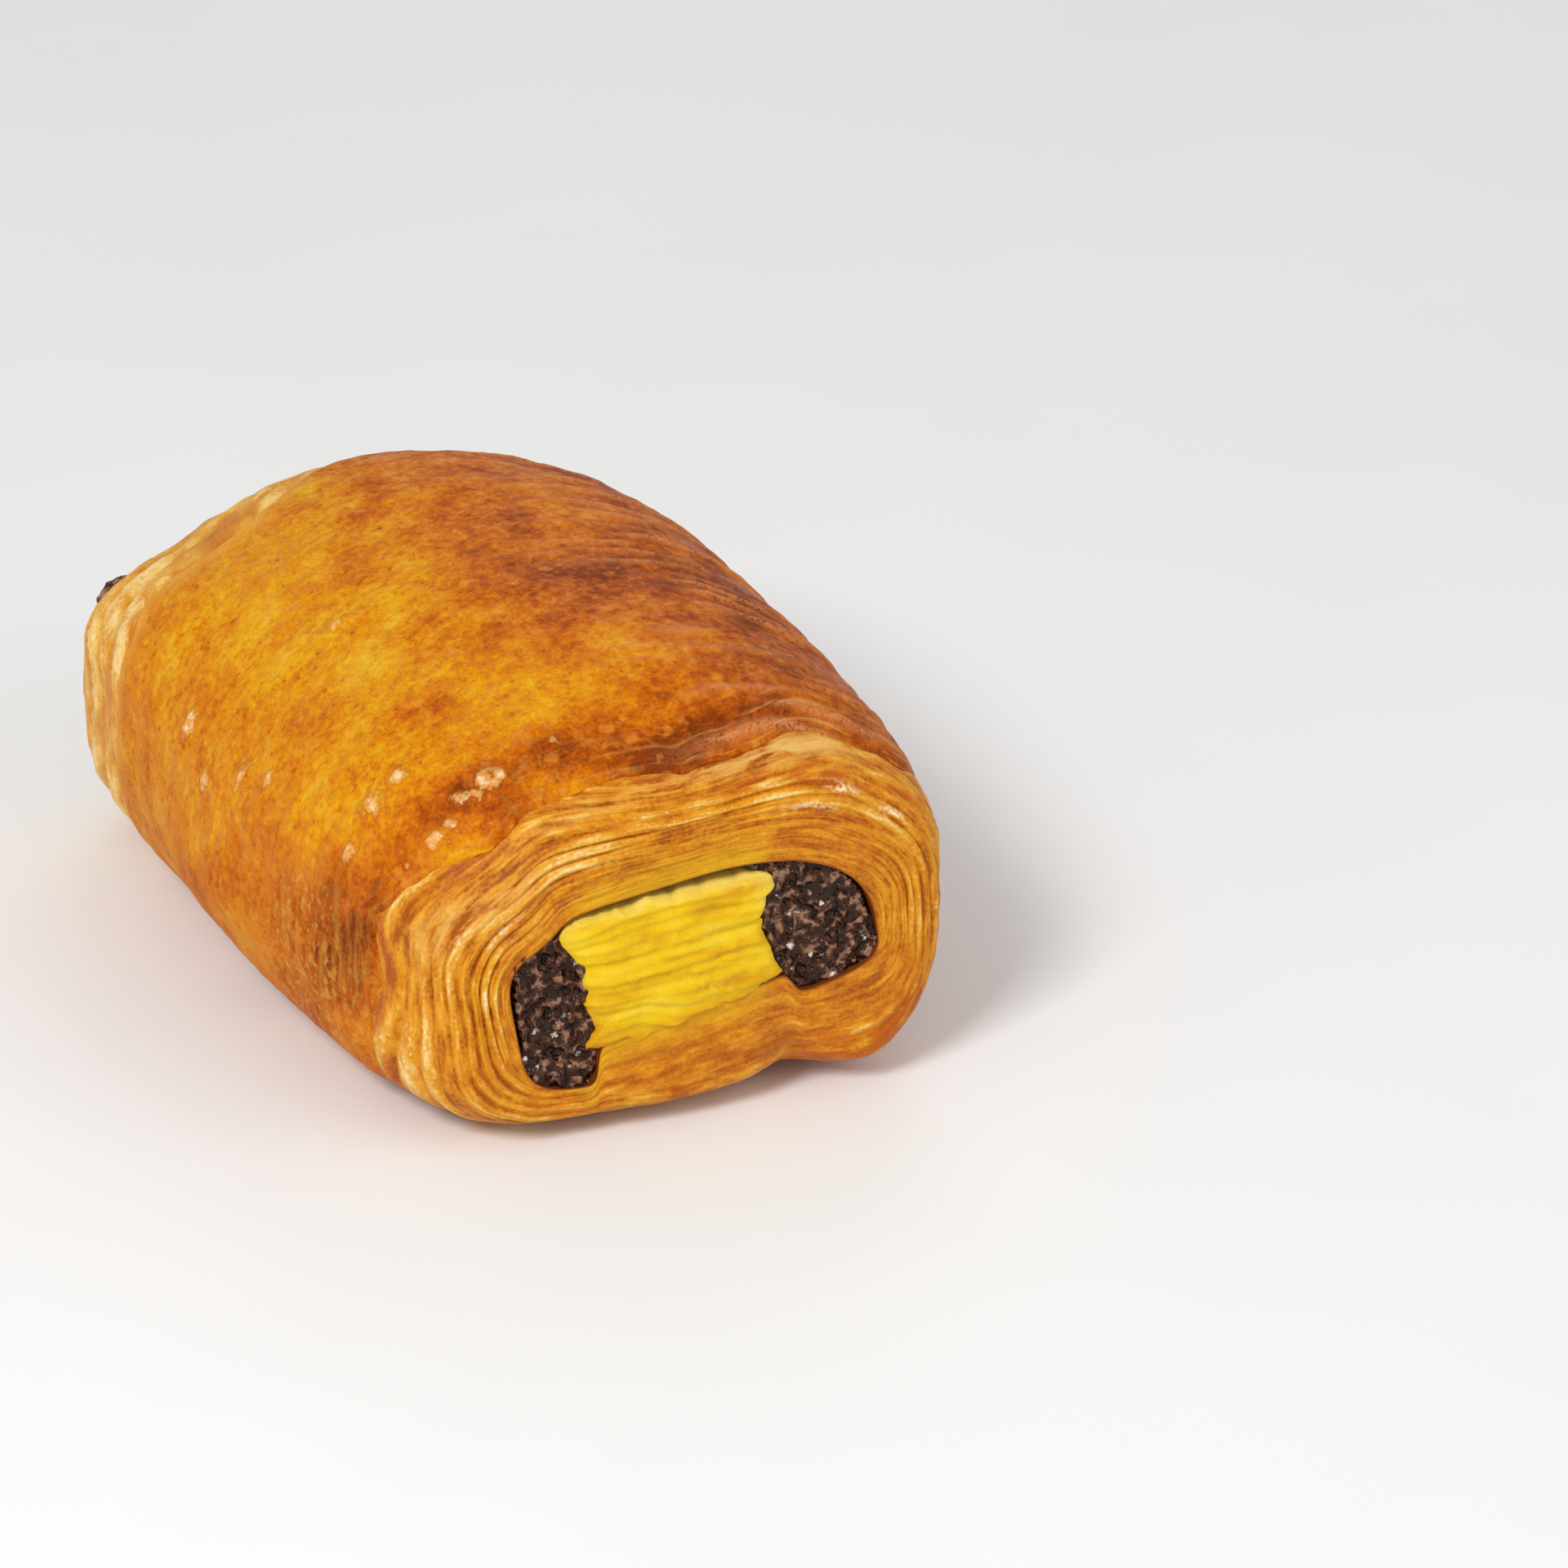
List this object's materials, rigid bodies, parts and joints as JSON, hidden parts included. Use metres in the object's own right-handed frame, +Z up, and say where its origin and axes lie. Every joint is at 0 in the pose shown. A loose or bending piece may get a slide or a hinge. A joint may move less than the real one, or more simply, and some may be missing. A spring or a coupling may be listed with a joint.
{
  "type": "pain au chocolat",
  "caption": "Baked roll of flaky pastry with a browned, glazed crust and layered ends, filled from end to end with chocolate sticks and custard, lying on a flat base.",
  "frame": {"origin": "in the flat base, under the middle of the filling", "axes": "+Z up; Y along the chocolate sticks, with the end that the picture shows facing -Y; X across the roll"},
  "size_m": [0.0799, 0.111, 0.0527],
  "materials": {
    "pastry": "browned, egg-glazed crust with pale flaky layers at the ends",
    "custard": "satin, folded and ridged",
    "chocolate": "grainy, with small glints"
  },
  "bodies": {
    "root": {"dough": "pastry", "custard": "custard", "chocolate_stick_left": "chocolate", "chocolate_stick_right": "chocolate"}
  },
  "joints": []
}
